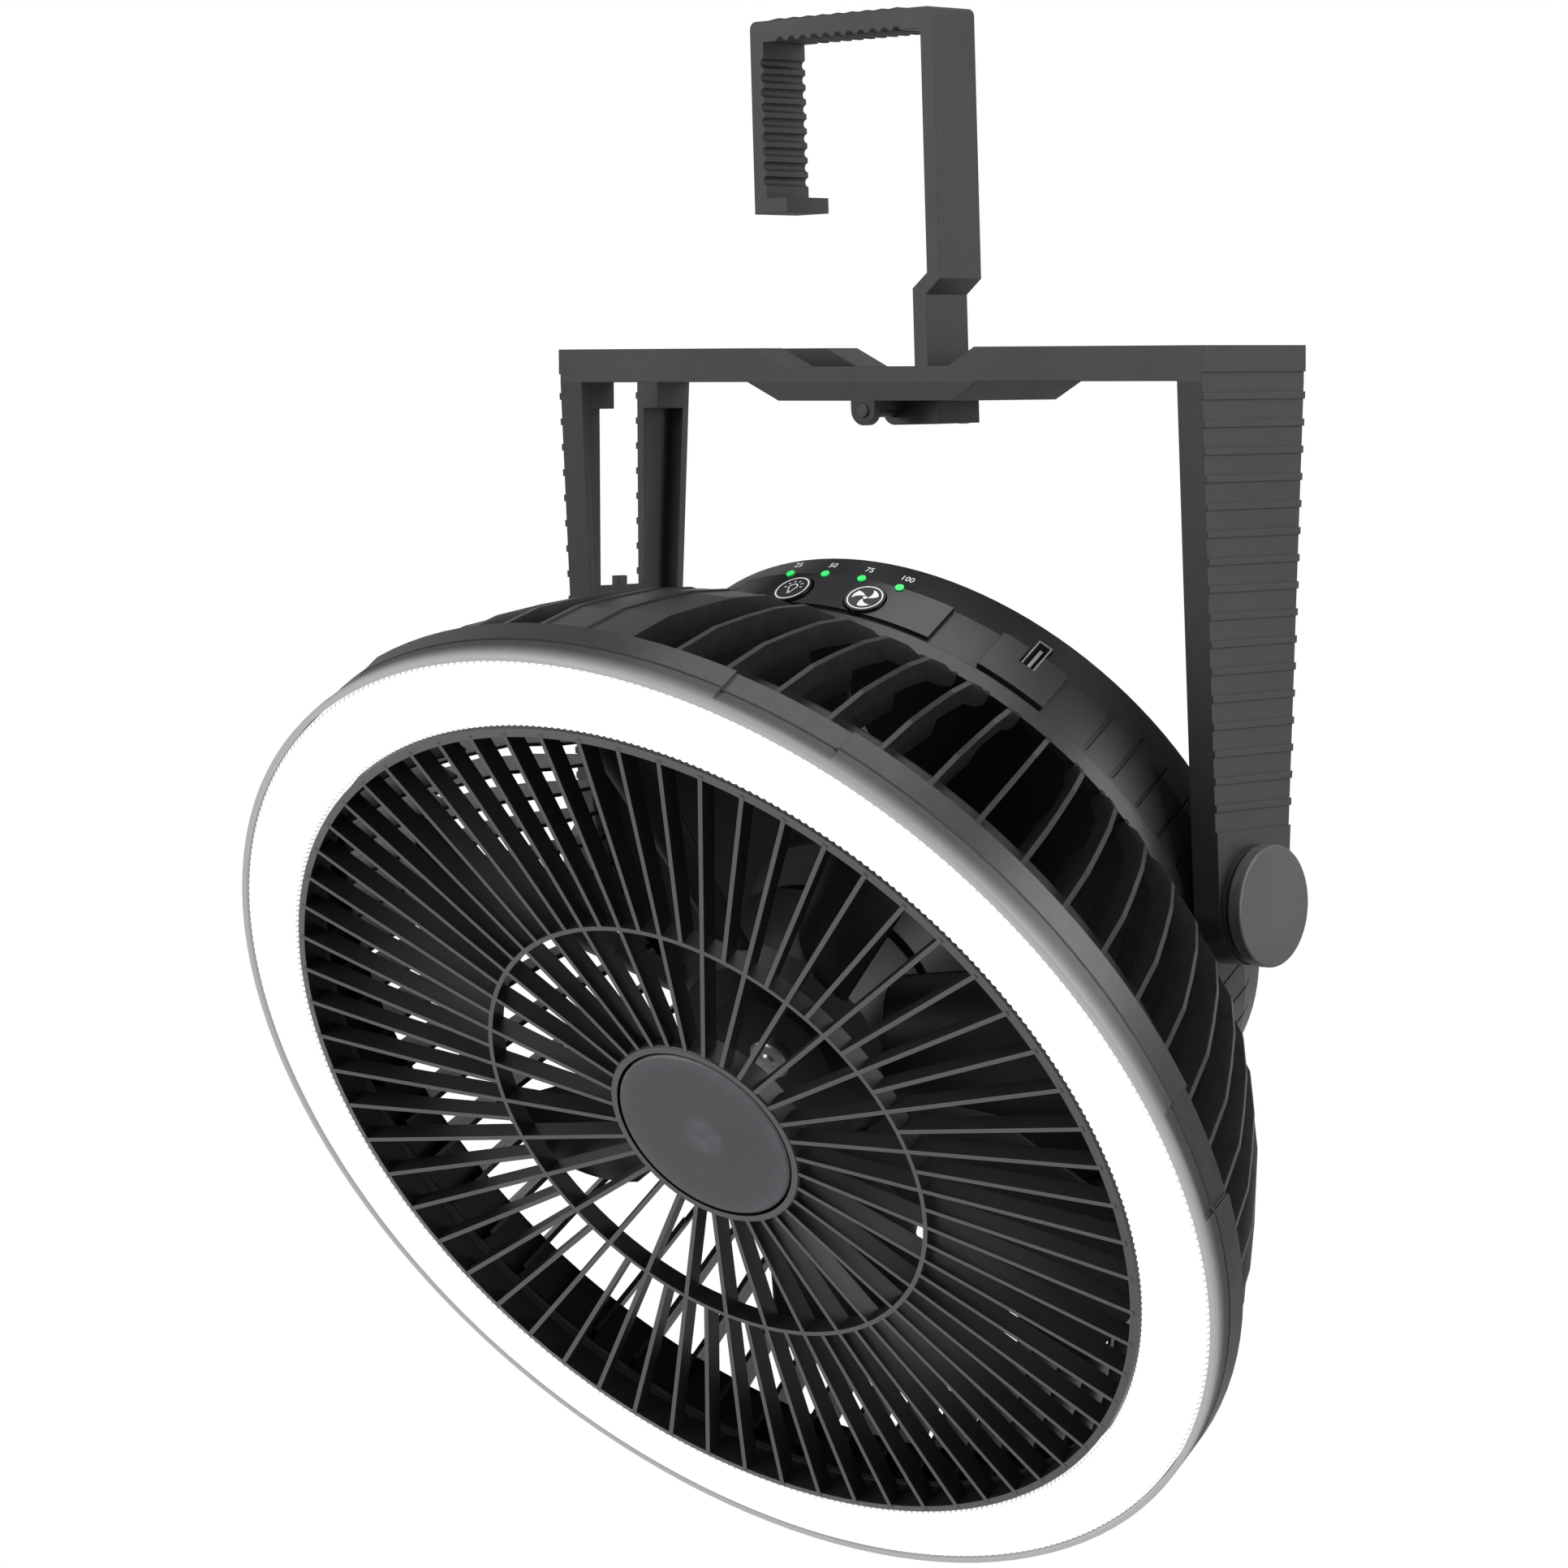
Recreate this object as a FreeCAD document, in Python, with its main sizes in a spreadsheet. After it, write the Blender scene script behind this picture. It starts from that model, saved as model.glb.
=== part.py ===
import FreeCAD, Part
import os
import re

import Sketcher

# Portable camping fan with an LED ring, in millimetres.
# A U-shaped stand hangs from a folding hook and holds the fan head on two side pivots.
# Stand pieces are drawn about the tilt axis: X along the crossbar, Y to the back, Z up.
# Head pieces are drawn about the fan axis: local Z points out of the grille, local Y up its face.
# The finished part is placed so that the origin is where the hook's top bar rests on a line.

SIZES = [
    # stand
    ("bar_length", 185.0), ("bar_depth", 40.0), ("bar_thick", 7.8), ("bar_rise", 123.5),
    ("dip_drop", 4.3), ("dip_left", 25.0), ("dip_right", 23.0), ("ramp_left", 9.0), ("ramp_right", 7.3),
    ("arm_width", 7.0), ("arm_wall", 2.5), ("flange_wall", 2.2), ("arm_end_radius", 13.4),
    ("rib_count", 18), ("rib_pitch", 6.02), ("rib_tall", 1.6), ("rib_proud", 0.5), ("rib_first", 15.3),
    ("window_bottom", 67.2), ("peg_tall", 2.2), ("peg_wide", 3.2),
    # hook
    ("pin_left", 1.5), ("pin_below", 14.3), ("pin_radius", 1.6), ("boss_radius", 3.4),
    ("hook_width", 15.5), ("hook_height", 91.1), ("hook_bar", 4.9), ("hook_leg", 3.8),
    ("leg_outer", 14.1), ("leg_step", 4.2), ("jog_up", 27.5), ("tip_outer", 39.4), ("tip_up", 46.6),
    ("lip_reach", 9.6), ("lip_thick", 3.6), ("foot_reach", 12.5), ("hook_lean", 1.8),
    ("scallop_radius", 1.1), ("scallop_pitch", 3.4), ("scallop_count", 8),
    ("side_gap", 0.4), ("run_gap", 0.05), ("seat_gap", 0.3),
    # head
    ("head_tilt", 32.25), ("drum_radius", 82.0), ("drum_wall", 2.4), ("drum_front", 8.0), ("drum_rear", 18.0),
    ("drum_round", 5.0), ("pivot_radius", 4.0), ("pivot_boss", 7.6), ("cap_radius", 13.6), ("cap_thick", 3.0),
    ("ring_thick", 2.4), ("groove_count", 15), ("groove_step", 6.0), ("groove_wide", 1.0), ("groove_deep", 0.6),
    ("plate_thick", 2.2), ("fin_count", 62), ("fin_first", 4.4), ("fin_thick", 1.2), ("fin_deep", 7.0),
    ("duct_inset", 0.4), ("duct_skin", 2.5), ("duct_fin", 14), ("bezel_radius", 127.3), ("bezel_rear", 79.5), ("bezel_split", 85.5),
    ("bezel_front", 91.8), ("bezel_wall", 1.4), ("recess_deep", 0.8), ("recess_count", 6), ("recess_angle", 13.0),
    ("lens_inner", 110.0), ("lens_outer", 125.6), ("lens_crown", 94.6), ("lens_wall", 1.2), ("board_thick", 1.2),
    ("chip_count", 36), ("chip_size", 3.0), ("chip_tall", 0.8),
    ("rim_outer", 109.7), ("rim_inner", 107.8), ("grille_face", 94.1), ("bar_deep", 4.6), ("bar_wide", 1.1),
    ("bar_pairs", 33), ("bar_first", 1.1), ("mid_ring", 56.9), ("hub_outer", 24.8), ("hub_inner", 22.9), ("hub_floor", 1.5),
    ("motor_radius", 30.0), ("motor_front", 38.0), ("shaft_radius", 2.0), ("shaft_front", 60.0),
    ("blade_count", 7), ("blade_tip", 99.0), ("blade_root", 27.0), ("blade_chord", 42.0), ("blade_middle", 54.0),
    ("blade_pitch", 38.0), ("blade_twist", 16.0), ("blade_camber", 4.0), ("blade_thick", 1.6),
    ("hub_radius", 28.0), ("hub_rear", 40.0), ("hub_front", 66.0),
    # controls
    ("panel_angle", 84.0), ("panel_span", 40.0), ("panel_thick", 1.0), ("panel_inset", 1.5),
    ("button_radius", 4.7), ("button_proud", 0.5), ("button_travel", 0.8), ("button_spread", 13.7),
    ("button_ahead", 1.7), ("led_spread", 6.9), ("led_behind", 6.2), ("led_radius", 1.0),
    ("port_angle", 49.0), ("port_wide", 9.4), ("port_high", 3.6), ("port_deep", 7.5), ("port_block", 15.0),
    ("cell_radius", 9.1), ("cell_length", 65.0), ("cell_pitch", 19.0), ("inner_board", 70.0),
]

doc = FreeCAD.newDocument("CampingFan")
sheet = doc.addObject("Spreadsheet::Sheet", "Dims")
for row, (alias, number) in enumerate(SIZES, start=1):
    sheet.set(f"A{row}", alias)
    sheet.set(f"B{row}", str(number))
    sheet.setAlias(f"B{row}", alias)
doc.recompute()
NAMES = {alias for alias, _ in SIZES}
PIECES = []


def linked(text):
    """The same expression with every size read from the sheet."""
    return re.sub(r"[a-z]+(?:_[a-z]+)*", lambda found: "Dims." + found[0] if found[0] in NAMES else found[0], text)


def size(text):
    """The present value of an expression in the sheet's sizes."""
    return float(sheet.evalExpression(text))


def bind(item, prop, text):
    item.setExpression(prop, linked(text))


def stand_place():
    """The tilt axis lies below and beside the hook's seat, which is the origin."""
    lean = FreeCAD.Rotation(FreeCAD.Vector(0, 1, 0), -size("hook_lean"))
    pin = FreeCAD.Vector(-size("pin_left"), 0, size("bar_rise - pin_below"))
    middle = size("(leg_outer - tip_outer) / 2")
    seat = pin + lean.multVec(FreeCAD.Vector(middle, 0, size("hook_height - hook_bar")))
    return FreeCAD.Placement(-seat, FreeCAD.Rotation())


STAND = stand_place()
PIN = FreeCAD.Placement(FreeCAD.Vector(-size("pin_left"), 0, size("bar_rise - pin_below")), FreeCAD.Rotation())
LEAN = FreeCAD.Placement(FreeCAD.Vector(), FreeCAD.Rotation(FreeCAD.Vector(0, 1, 0), -size("hook_lean")))
TILT = FreeCAD.Rotation(FreeCAD.Vector(1, 0, 0), 90 + size("head_tilt"))
HEAD = STAND.multiply(FreeCAD.Placement(FreeCAD.Vector(), TILT))


def turned(angle):
    """The head's frame turned about the fan axis."""
    return HEAD.multiply(FreeCAD.Placement(FreeCAD.Vector(), FreeCAD.Rotation(FreeCAD.Vector(0, 0, 1), angle)))


def outward(angle, radius, height):
    """A frame whose Z axis points out of the drum at an angle round the fan axis."""
    spot = FreeCAD.Placement(FreeCAD.Vector(radius, 0, height), FreeCAD.Rotation(FreeCAD.Vector(0, 1, 0), 90))
    return turned(angle).multiply(spot)


def new_body(label, place):
    body = doc.addObject("PartDesign::Body", label)
    body.Label = label
    body.Placement = place
    PIECES.append(body)
    return body


def plane(body, role):
    return [item for item in body.Origin.OriginFeatures if item.Role == role][0]


def new_sketch(body, role, name, up="0", turn="0"):
    """A sketch on an origin plane, turned about its vertical and moved along its normal."""
    sketch = body.newObject("Sketcher::SketchObject", name)
    sketch.AttachmentSupport = [(plane(body, role), "")]
    sketch.MapMode = "FlatFace"
    turning = FreeCAD.Rotation(FreeCAD.Vector(0, 1, 0), size(turn))
    spot = FreeCAD.Placement(FreeCAD.Vector(0, 0, size(up)), FreeCAD.Rotation())
    sketch.AttachmentOffset = FreeCAD.Placement(FreeCAD.Vector(), turning).multiply(spot)
    if turn == "0" and up != "0":
        bind(sketch, "AttachmentOffset.Base.z", up)
    return sketch


def turn_face(sketch, angle):
    """Turns a sketch in its own plane."""
    spin = FreeCAD.Rotation(FreeCAD.Vector(0, 0, 1), size(angle))
    sketch.AttachmentOffset = FreeCAD.Placement(sketch.AttachmentOffset.Base, spin)


def hold(sketch, edge, end, x, y):
    """Ties one point of the sketch to the sheet by its two coordinates."""
    for kind, text, axis in (("DistanceX", x, -2), ("DistanceY", y, -1)):
        if abs(size(text)) < 1e-9:
            sketch.addConstraint(Sketcher.Constraint("PointOnObject", edge, end, axis))
        else:
            number = sketch.addConstraint(Sketcher.Constraint(kind, -1, 1, edge, end, size(text)))
            sketch.setExpression(f"Constraints[{number}]", linked(text))


def outline(sketch, points):
    """A closed outline of straight edges through points given as expressions."""
    first = sketch.GeometryCount
    spots = [FreeCAD.Vector(size(x), size(y), 0) for x, y in points]
    count = len(points)
    for i in range(count):
        sketch.addGeometry(Part.LineSegment(spots[i], spots[(i + 1) % count]), False)
    for i in range(count):
        sketch.addConstraint(Sketcher.Constraint("Coincident", first + i, 2, first + (i + 1) % count, 1))
    for i, (x, y) in enumerate(points):
        hold(sketch, first + i, 1, x, y)


def block(sketch, x_low, x_high, y_low, y_high):
    outline(sketch, [(x_low, y_low), (x_high, y_low), (x_high, y_high), (x_low, y_high)])


def disc(sketch, x, y, radius):
    middle = FreeCAD.Vector(size(x), size(y), 0)
    edge = sketch.addGeometry(Part.Circle(middle, FreeCAD.Vector(0, 0, 1), size(radius)), False)
    number = sketch.addConstraint(Sketcher.Constraint("Radius", edge, size(radius)))
    sketch.setExpression(f"Constraints[{number}]", linked(radius))
    if abs(size(x)) < 1e-9 and abs(size(y)) < 1e-9:
        sketch.addConstraint(Sketcher.Constraint("Coincident", edge, 3, -1, 1))
    else:
        hold(sketch, edge, 3, x, y)


def feature(body, kind, sketch, name, **settings):
    """Adds a feature to a body. Text settings are bound to the sheet, others are set as they are."""
    item = body.newObject("PartDesign::" + kind, name)
    item.Profile = sketch
    sketch.Visibility = False
    for prop, setting in settings.items():
        if isinstance(setting, str) and prop not in ("Type", "SideType"):
            bind(item, prop, setting)
        else:
            setattr(item, prop, setting)
    return item


def pad(body, sketch, length, name, both=False, reverse=False):
    return feature(body, "Pad", sketch, name, Length=length, Midplane=both, Reversed=reverse)


def pocket(body, sketch, length, name, both=False, reverse=False):
    return feature(body, "Pocket", sketch, name, Length=length, Midplane=both, Reversed=reverse)


def revolve(body, sketch, name, kind="Revolution", angle=None):
    item = feature(body, kind, sketch, name, ReferenceAxis=(sketch, ["V_Axis"]))
    if angle is None:
        item.Angle = 360.0
    else:
        item.Midplane = True
        bind(item, "Angle", angle)
    return item


def ring(body, name, points):
    """A body of revolution about its Z axis from radius and height pairs."""
    sketch = new_sketch(body, "XZ_Plane", name + "_section")
    outline(sketch, points)
    return revolve(body, sketch, name)


def circle_of(body, item, count, name, angle="360"):
    """Repeats a feature round the body's Z axis."""
    doc.recompute()
    pattern = body.newObject("PartDesign::PolarPattern", name)
    pattern.Originals = [item]
    pattern.Axis = (plane(body, "Z_Axis"), [""])
    bind(pattern, "Angle", angle)
    bind(pattern, "Occurrences", count)
    body.Tip = pattern
    return pattern


def row_of(body, item, role, length, count, name, reverse=False):
    """Repeats a feature along one of the body's axes."""
    doc.recompute()
    pattern = body.newObject("PartDesign::LinearPattern", name)
    pattern.Originals = [item]
    pattern.Direction = (plane(body, role), [""])
    pattern.Reversed = reverse
    bind(pattern, "Length", length)
    bind(pattern, "Occurrences", count)
    body.Tip = pattern
    return pattern


def soften(body, radius, name, chosen):
    """Rounds the edges of a body that a test picks out."""
    doc.recompute()
    base = body.Tip
    names = [f"Edge{i}" for i, edge in enumerate(base.Shape.Edges, start=1) if chosen(edge)]
    fillet = body.newObject("PartDesign::Fillet", name)
    fillet.Base = (base, names)
    bind(fillet, "Radius", radius)
    return fillet


def near(a, b):
    return abs(a - b) < 1e-3


# Stand: one moulding with a crossbar, two channel arms and a slot that takes the folded hook.
SLOT = "(hook_width / 2 + side_gap)"
HALF = "(bar_length / 2)"


def make_stand():
    body = new_body("stand_frame", STAND)
    inner = f"({HALF} - arm_width)"
    front = new_sketch(body, "XZ_Plane", "stand_front")
    outline(front, [
        (f"-{HALF}", "-arm_end_radius"), (f"-{HALF}", "bar_rise"),
        ("-dip_left - ramp_left", "bar_rise"), ("-dip_left", "bar_rise - dip_drop"),
        ("dip_right", "bar_rise - dip_drop"), ("dip_right + ramp_right", "bar_rise"),
        (HALF, "bar_rise"), (HALF, "-arm_end_radius"), (inner, "-arm_end_radius"),
        (inner, "bar_rise - bar_thick"), ("dip_right + ramp_right + 1", "bar_rise - bar_thick"),
        ("dip_right + 1", "bar_rise - bar_thick - dip_drop"), ("-dip_left - 1", "bar_rise - bar_thick - dip_drop"),
        ("-dip_left - ramp_left - 1", "bar_rise - bar_thick"), (f"-{inner}", "bar_rise - bar_thick"),
        (f"-{inner}", "-arm_end_radius"),
    ])
    pad(body, front, "bar_depth", "stand_outline", both=True)
    knuckle = new_sketch(body, "XZ_Plane", "knuckle_face")
    disc(knuckle, "-pin_left", "bar_rise - pin_below", "boss_radius")
    pad(body, knuckle, "bar_depth", "knuckle", both=True)
    web = new_sketch(body, "XZ_Plane", "knuckle_web_face")
    block(web, "-pin_left - boss_radius", "-pin_left + boss_radius", "bar_rise - pin_below",
          "bar_rise - bar_thick - dip_drop + 0.1")
    pad(body, web, "bar_depth", "knuckle_web", both=True)
    for side, name in (("-", "front"), ("", "rear")):
        taper = new_sketch(body, "YZ_Plane", f"taper_{name}")
        outline(taper, [
            (f"{side}(bar_depth / 2)", "bar_rise - bar_thick"), (f"{side}arm_end_radius", "0"),
            (f"{side}arm_end_radius", "-arm_end_radius - 1"), (f"{side}(bar_depth / 2 + 1)", "-arm_end_radius - 1"),
            (f"{side}(bar_depth / 2 + 1)", "bar_rise - bar_thick"),
        ])
        pocket(body, taper, "bar_length + 2", f"taper_cut_{name}", both=True)
    end = size("arm_end_radius")
    soften(body, "arm_end_radius - 0.1", "arm_ends",
           lambda edge: near(edge.BoundBox.ZMin, -end) and near(edge.BoundBox.ZMax, -end)
           and near(abs(edge.BoundBox.YMin), end) and edge.BoundBox.XLength > 1)
    channel = new_sketch(body, "YZ_Plane", "channel_face")
    low = "arm_end_radius + 3"
    high = "bar_rise - bar_thick - dip_drop - 2"
    lean = "(bar_depth / 2 - arm_end_radius) / (bar_rise - bar_thick)"
    half_low = f"(arm_end_radius + ({low}) * {lean} - flange_wall)"
    half_high = f"(arm_end_radius + ({high}) * {lean} - flange_wall)"
    outline(channel, [(f"-{half_low}", low), (half_low, low), (half_high, high), (f"-{half_high}", high)])
    pocket(body, channel, "bar_length - 2 * arm_wall", "arm_channels", both=True)
    groove = new_sketch(body, "XZ_Plane", "groove_face")
    for near_x, far_x in ((f"{HALF} - rib_proud", f"{HALF} + 1"), (f"-{HALF} - 1", f"-{HALF} + rib_proud")):
        block(groove, near_x, far_x, "rib_first + rib_tall", "rib_first + rib_pitch")
    first = pocket(body, groove, "bar_depth + 2", "rib_groove", both=True)
    row_of(body, first, "Z_Axis", "rib_pitch * (rib_count - 2)", "rib_count - 1", "rib_grooves")
    slot = new_sketch(body, "XY_Plane", "slot_face", up="bar_rise + 1")
    block(slot, f"-{HALF} - 1", "-dip_left", f"-{SLOT}", SLOT)
    pocket(body, slot, "1 + leg_step + seat_gap", "leg_slot")
    well = new_sketch(body, "XY_Plane", "well_face", up="bar_rise + 1")
    block(well, "-dip_left - ramp_left + 1", "-pin_left + foot_reach + 1.4", f"-{SLOT}", SLOT)
    pocket(body, well, "1 + pin_below + boss_radius + 1", "hook_well")
    swing = new_sketch(body, "XY_Plane", "swing_face", up="bar_rise + 1")
    block(swing, f"-{HALF} - 1", "-pin_left - sqrt((tip_outer - lip_reach)^2 + tip_up^2) + 1.3", f"-{SLOT}", SLOT)
    pocket(body, swing, "bar_thick + 2", "swing_slot")
    window = new_sketch(body, "YZ_Plane", "window_face", up=f"-{HALF} - 1")
    block(window, f"-{SLOT}", SLOT, "window_bottom", "bar_rise + 1")
    pocket(body, window, "arm_width + 1.5", "hook_window", reverse=True)
    peg = new_sketch(body, "YZ_Plane", "peg_face", up=f"-{HALF} + rib_proud")
    block(peg, "-peg_wide / 2", "peg_wide / 2", "window_bottom - 0.2", "window_bottom + peg_tall")
    pad(body, peg, "arm_wall - rib_proud", "peg")
    bores = new_sketch(body, "XZ_Plane", "pin_bore_face")
    disc(bores, "-pin_left", "bar_rise - pin_below", "pin_radius")
    pocket(body, bores, "bar_depth + 2", "pin_bore", both=True)
    pivots = new_sketch(body, "YZ_Plane", "pivot_bore_face")
    disc(pivots, "0", "0", "pivot_radius + run_gap")
    pocket(body, pivots, "bar_length + 2", "pivot_bores", both=True)
    return body


def make_pin():
    body = new_body("hook_pin", STAND)
    face = new_sketch(body, "XZ_Plane", "pin_face")
    disc(face, "-pin_left", "bar_rise - pin_below", "pin_radius")
    pad(body, face, "bar_depth", "pin", both=True)
    return body


# Hook: drawn about its pin, standing up, then leaned as the rest pose has it.
def make_hook():
    body = new_body("hook", STAND.multiply(PIN).multiply(LEAN))
    front = new_sketch(body, "XZ_Plane", "hook_front")
    low_outer = "(leg_outer - leg_step)"
    outline(front, [
        ("0", "-boss_radius"), ("foot_reach", "-boss_radius"), ("foot_reach", "boss_radius - 1"),
        (low_outer, "boss_radius + 2"), (low_outer, "jog_up - 1.5"), ("leg_outer", "jog_up + 2"),
        ("leg_outer", "hook_height"), ("-tip_outer", "hook_height"), ("-tip_outer", "tip_up"),
        ("-tip_outer + lip_reach", "tip_up"), ("-tip_outer + lip_reach", "tip_up + lip_thick"),
        ("-tip_outer + hook_leg", "tip_up + lip_thick"), ("-tip_outer + hook_leg", "hook_height - hook_bar"),
        ("leg_outer - hook_leg", "hook_height - hook_bar"), ("leg_outer - hook_leg", "jog_up + 3.4"),
        (f"{low_outer} - hook_leg", "jog_up"), (f"{low_outer} - hook_leg", "boss_radius"), ("0", "boss_radius"),
    ])
    pad(body, front, "hook_width", "hook_bent", both=True)
    eye = new_sketch(body, "XZ_Plane", "eye_face")
    disc(eye, "0", "0", "boss_radius")
    pad(body, eye, "hook_width", "hook_eye", both=True)
    bore = new_sketch(body, "XZ_Plane", "eye_bore_face")
    disc(bore, "0", "0", "pin_radius + run_gap")
    pocket(body, bore, "hook_width + 2", "eye_bore", both=True)
    top = size("hook_height")
    soften(body, "1.8", "hook_corners",
           lambda edge: near(edge.BoundBox.ZMin, top) and near(edge.BoundBox.ZMax, top) and edge.BoundBox.YLength > 5)
    tip = new_sketch(body, "XZ_Plane", "tip_scallop")
    disc(tip, "-tip_outer + hook_leg + 0.2", "tip_up + lip_thick + 4", "scallop_radius")
    first = pocket(body, tip, "hook_width + 2", "tip_scallop_cut", both=True)
    row_of(body, first, "Z_Axis", "scallop_pitch * scallop_count", "scallop_count + 1", "tip_scallops")
    under = new_sketch(body, "XZ_Plane", "bar_scallop")
    disc(under, "-tip_outer + hook_leg + 5", "hook_height - hook_bar - 0.2", "scallop_radius")
    second = pocket(body, under, "hook_width + 2", "bar_scallop_cut", both=True)
    row_of(body, second, "X_Axis", "scallop_pitch * (scallop_count + 2)", "scallop_count + 3", "bar_scallops")
    return body


# Pivots: a screw in the drum's boss turns in the arm, under a stepped ring and a flat cap.
def make_pivot(side, word):
    ring_body = new_body(f"pivot_ring_{word}", STAND)
    face = new_sketch(ring_body, "YZ_Plane", f"ring_face_{word}", up=f"{side}{HALF}")
    disc(face, "0", "0", "cap_radius - 0.6")
    disc(face, "0", "0", "cap_radius - 3.2")
    pad(ring_body, face, "ring_thick", f"ring_{word}", reverse=side == "-")
    lip = new_sketch(ring_body, "YZ_Plane", f"ring_lip_face_{word}", up=f"{side}({HALF} + ring_thick / 2)")
    disc(lip, "0", "0", "cap_radius - 1.2")
    disc(lip, "0", "0", "cap_radius + 1")
    pocket(ring_body, lip, "0.5", f"ring_lip_{word}", reverse=side != "-")
    cap = new_body(f"pivot_cap_{word}", STAND)
    face = new_sketch(cap, "YZ_Plane", f"cap_face_{word}", up=f"{side}({HALF} + ring_thick)")
    disc(face, "0", "0", "cap_radius")
    pad(cap, face, "cap_thick", f"cap_{word}", reverse=side == "-")
    outer = size(f"{HALF} + ring_thick + cap_thick")
    soften(cap, "0.5", f"cap_rim_{word}", lambda edge: near(abs(edge.BoundBox.XMin), outer) and edge.BoundBox.YLength > 5)
    screw = new_body(f"pivot_screw_{word}", STAND)
    shank = new_sketch(screw, "YZ_Plane", f"shank_face_{word}", up=f"{side}({HALF} - arm_width - seat_gap)")
    disc(shank, "0", "0", "pivot_radius")
    pad(screw, shank, "arm_width + 2 * seat_gap", f"shank_{word}", reverse=side == "-")
    head = new_sketch(screw, "YZ_Plane", f"head_face_{word}", up=f"{side}({HALF} + seat_gap)")
    disc(head, "0", "0", "pivot_radius + 3")
    pad(screw, head, "ring_thick - 2 * seat_gap", f"head_{word}", reverse=side == "-")
    return ring_body, cap, screw


# Drum: a closed shell behind the fan with the pivot bosses, the control panel and the port.
def make_drum():
    body = new_body("rear_housing", HEAD)
    wall = "(drum_radius - drum_wall)"
    ring(body, "drum", [
        ("0", "-drum_rear"), ("drum_radius - drum_round - 1", "-drum_rear"),
        ("drum_radius - 0.35 * drum_round", "-drum_rear + 0.6 * drum_round"),
        ("drum_radius", "-drum_rear + 2.6 * drum_round"),
        ("drum_radius", "drum_front"), (wall, "drum_front"), (wall, "-drum_rear + 2.2 * drum_round"),
        (f"{wall} - 0.35 * drum_round", "-drum_rear + 0.9 * drum_round"),
        (f"{wall} - drum_round", "-drum_rear + drum_wall"), ("0", "-drum_rear + drum_wall"),
    ])
    for side, word in (("-", "left"), ("", "right")):
        face = new_sketch(body, "YZ_Plane", f"boss_face_{word}", up=f"{side}(drum_radius - drum_wall - 2)")
        disc(face, "0", "0", "pivot_boss")
        pad(body, face, f"{HALF} - arm_width - seat_gap - drum_radius + drum_wall + 2", f"boss_{word}",
            reverse=side == "-")
    groove = new_sketch(body, "XZ_Plane", "drum_groove_face", turn="40 - groove_step * groove_count")
    block(groove, "drum_radius - groove_deep", "drum_radius + 2", "-drum_rear - 1", "drum_front - 1.5")
    first = pocket(body, groove, "groove_wide", "drum_groove", both=True)
    circle_of(body, first, "groove_count", "drum_grooves", angle="groove_step * (groove_count - 1)")
    holes = new_sketch(body, "YZ_Plane", "button_hole_face", up="drum_radius - 8", turn="panel_angle")
    shift = "(drum_radius * sin(button_spread / 2))"
    disc(holes, f"-{shift}", "button_ahead", "button_radius + seat_gap")
    disc(holes, shift, "button_ahead", "button_radius + seat_gap")
    pocket(body, holes, "12", "button_holes", reverse=True)
    slot = new_sketch(body, "YZ_Plane", "port_hole_face", up="drum_radius - port_deep - 2", turn="port_angle")
    block(slot, "-port_high / 2 - seat_gap", "port_high / 2 + seat_gap", "-5 - port_wide / 2 - seat_gap",
          "-5 + port_wide / 2 + seat_gap")
    pocket(body, slot, "port_deep + 6", "port_hole", reverse=True)
    return body


def make_port():
    block_body = new_body("port_surround", turned(size("port_angle")))
    face = new_sketch(block_body, "XZ_Plane", "surround_section")
    block(face, "drum_radius", "drum_radius + 1.6", "-drum_rear + 2.6 * drum_round", "drum_front - 1")
    revolve(block_body, face, "surround", angle="port_block * 0.8")
    cut = new_sketch(block_body, "YZ_Plane", "surround_hole_face", up="drum_radius - 2")
    block(cut, "-port_high / 2 - seat_gap", "port_high / 2 + seat_gap", "-5 - port_wide / 2 - seat_gap",
          "-5 + port_wide / 2 + seat_gap")
    pocket(block_body, cut, "6", "surround_hole", reverse=True)
    port = new_body("charging_port", turned(size("port_angle")))
    shell = new_sketch(port, "YZ_Plane", "port_face", up="drum_radius - port_deep")
    block(shell, "-port_high / 2", "port_high / 2", "-5 - port_wide / 2", "-5 + port_wide / 2")
    pad(port, shell, "port_deep", "port_shell")
    mouth = new_sketch(port, "YZ_Plane", "mouth_face", up="drum_radius - port_deep + 1")
    block(mouth, "-port_high / 2 + 0.4", "port_high / 2 - 0.4", "-5 - port_wide / 2 + 0.4", "-5 + port_wide / 2 - 0.4")
    pocket(port, mouth, "port_deep", "port_mouth", reverse=True)
    tongue = new_sketch(port, "YZ_Plane", "tongue_face", up="drum_radius - port_deep + 0.5")
    block(tongue, "-0.4", "0.4", "-5 - port_wide / 2 + 1.4", "-5 + port_wide / 2 - 1.4")
    pad(port, tongue, "port_deep - 1.5", "port_tongue")
    return block_body, port


def make_panel():
    body = new_body("control_panel", turned(size("panel_angle")))
    face = new_sketch(body, "XZ_Plane", "panel_section")
    block(face, "drum_radius", "drum_radius + panel_thick", "-drum_rear + 2.6 * drum_round", "drum_front - panel_inset")
    revolve(body, face, "panel", angle="panel_span")
    holes = new_sketch(body, "YZ_Plane", "panel_hole_face", up="drum_radius - 8")
    shift = "(drum_radius * sin(button_spread / 2))"
    disc(holes, f"-{shift}", "button_ahead", "button_radius + seat_gap")
    disc(holes, shift, "button_ahead", "button_radius + seat_gap")
    pocket(body, holes, "14", "panel_holes", reverse=True)
    return body


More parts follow.
